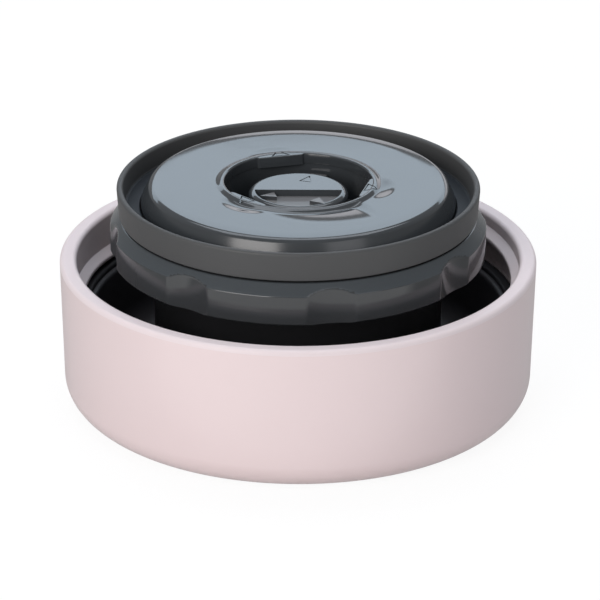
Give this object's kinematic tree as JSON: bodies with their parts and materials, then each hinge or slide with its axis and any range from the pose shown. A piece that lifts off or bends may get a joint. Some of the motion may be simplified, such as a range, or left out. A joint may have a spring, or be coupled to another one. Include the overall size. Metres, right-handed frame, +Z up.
{
  "type": "insulated bowl with stopper lid",
  "caption": "Low round double-walled bowl with a threaded mouth, and a sealed stopper lid with a bayonet valve cap and a pressure-release button standing in it.",
  "frame": {"origin": "middle of the base, on the table plane", "axes": "+Z up along the bowl's axis, -Y towards the front, where the valve cap's finger pocket is"},
  "size_m": [0.1124, 0.1124, 0.0542],
  "materials": {
    "pink_shell": "high-gloss pale pink lacquer",
    "pink_rim": "satin pale pink moulded plastic",
    "black_coated_steel": "black non-stick coating on stainless steel",
    "black_silicone": "matt black silicone",
    "white_foam": "white insulating foam",
    "grey_grip": "glossy dark grey moulded plastic",
    "grey_silicone": "matt grey silicone",
    "grey_plate": "high-gloss dark grey moulded plastic",
    "grey_head": "satin very dark grey moulded plastic",
    "stem_plastic": "natural acetal",
    "spring_steel": "bright stainless spring wire"
  },
  "bodies": {
    "bowl": {"outer_shell": "pink_shell", "mouth_ring": "pink_rim", "inner_bowl": "black_coated_steel", "mouth_gasket": "black_silicone", "bowl_insulation": "white_foam"},
    "stopper": {"grip_ring": "grey_grip", "seal_ring": "grey_silicone", "dome_plate": "grey_plate", "head_cover": "grey_head", "foam_core": "white_foam", "head_gasket": "black_silicone", "valve_tube": "grey_plate", "stem_seal": "black_silicone", "cap_gasket": "black_silicone", "valve_spring": "spring_steel"},
    "valve_cap": {"valve_cap": "grey_plate"},
    "button": {"push_button": "grey_head", "valve_stem": "stem_plastic", "valve_seal": "grey_silicone", "stem_clip": "spring_steel"}
  },
  "joints": [
    {"name": "stopper_lift", "type": "slide", "parent": "bowl", "child": "stopper", "axis": [0, 0, 1], "range_m": [0, 0.06]},
    {"name": "cap_turn", "type": "hinge", "parent": "stopper", "child": "valve_cap", "pos_m": [0, 0, 0.05], "axis": [0, 0, 1], "range_deg": [0, 32]},
    {"name": "button_press", "type": "slide", "parent": "stopper", "child": "button", "axis": [0, 0, 1], "range_m": [0, 0.002], "stiffness_N_per_m": 300, "springref_m": -0.004, "deforming": ["valve_spring"]}
  ]
}
